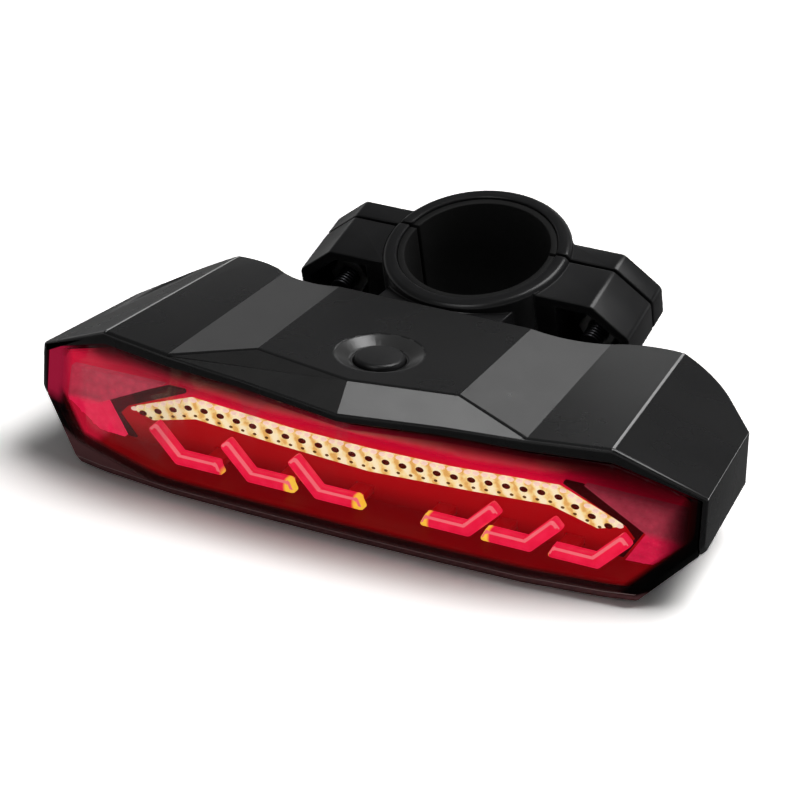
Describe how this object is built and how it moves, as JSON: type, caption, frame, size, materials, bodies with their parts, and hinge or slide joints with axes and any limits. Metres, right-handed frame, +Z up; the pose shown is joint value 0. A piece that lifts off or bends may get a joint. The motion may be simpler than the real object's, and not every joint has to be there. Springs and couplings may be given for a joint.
{
  "type": "bicycle tail light",
  "caption": "Wide faceted tail light with a smoked red lens, light bar and turn arrows, a top button and a split seat-post clamp.",
  "frame": {"origin": "centre of the seat-post clamp's bore, at half the ring's height", "axes": "+X along the lamp to its right end seen from behind the bicycle, +Y towards the front of the bicycle, so the lens faces -Y, +Z up"},
  "size_m": [0.1304, 0.0804, 0.0407],
  "materials": {
    "black_shell": "satin, finely moulded",
    "black_nylon": "satin",
    "smoked_lens": "clear, glossy",
    "red_reflector": "glossy",
    "light_bar": "pearly diffuser",
    "arrow_guides": "clear red, glossy",
    "reflex_red": "prismatic, glossy",
    "dark_red": "glossy",
    "circuit_board": "satin",
    "warm_led": "clear",
    "amber_led": "clear",
    "port_steel": "satin",
    "steel": "satin",
    "black_steel": "black oxide",
    "cell_wrap": "shrink-wrapped",
    "rubber": "matte",
    "button_rubber": "satin"
  },
  "bodies": {
    "lamp": {"housing": "black_shell", "lens": "smoked_lens", "reflector": "red_reflector", "light_bar": "light_bar", "left_arrow_guides": "arrow_guides", "right_arrow_guides": "arrow_guides", "left_reflex_reflector": "reflex_red", "right_reflex_reflector": "reflex_red", "left_arrowhead": "dark_red", "right_arrowhead": "dark_red", "led_board": "circuit_board", "bar_leds": "warm_led", "turn_leds": "amber_led", "main_board": "circuit_board", "buzzer": "black_shell", "charge_board": "circuit_board", "charge_port": "port_steel", "board_screws": "steel", "battery": "cell_wrap", "base_cover": "black_shell", "cover_gasket": "rubber", "cover_screws": "steel", "tact_switch": "black_shell", "clamp_front": "black_nylon", "front_clamp_pad": "rubber", "clamp_nuts": "steel", "bracket_screws": "steel"},
    "rear_clamp": {"clamp_rear": "black_nylon", "rear_clamp_pad": "rubber"},
    "left_clamp_screw": {"left_clamp_screw": "black_steel"},
    "right_clamp_screw": {"right_clamp_screw": "black_steel"},
    "power_button": {"power_button": "button_rubber"},
    "switch_plunger": {"switch_plunger": "black_shell"},
    "port_cover": {"port_cover": "rubber"}
  },
  "joints": [
    {"name": "power_button_press", "type": "slide", "parent": "lamp", "child": "power_button", "axis": [0, 0, -1], "range_m": [0, 0.0004], "stiffness_N_per_m": 600},
    {"name": "switch_plunger_press", "type": "slide", "parent": "lamp", "child": "switch_plunger", "axis": [0, 0, -1], "range_m": [0, 0.0004]},
    {"name": "clamp_opening", "type": "slide", "parent": "lamp", "child": "rear_clamp", "axis": [0, 0.9588, 0.284], "range_m": [0, 0.006]},
    {"name": "left_clamp_screw_turn", "type": "hinge", "parent": "rear_clamp", "child": "left_clamp_screw", "pos_m": [-0.0255, -0.00057, 0.00192], "axis": [0, 0.9588, 0.284], "continuous": true},
    {"name": "right_clamp_screw_turn", "type": "hinge", "parent": "rear_clamp", "child": "right_clamp_screw", "pos_m": [0.0255, -0.00057, 0.00192], "axis": [0, 0.9588, 0.284], "continuous": true},
    {"name": "port_cover_hinge", "type": "hinge", "parent": "lamp", "child": "port_cover", "pos_m": [-0.046, -0.01412, -0.01333], "axis": [-1, 0, 0], "range_deg": [0, 90], "stiffness_Nm_per_rad": 0.0002}
  ],
  "couplings": [
    {"joint": "switch_plunger_press", "follows": "power_button_press", "ratio": 1}
  ]
}
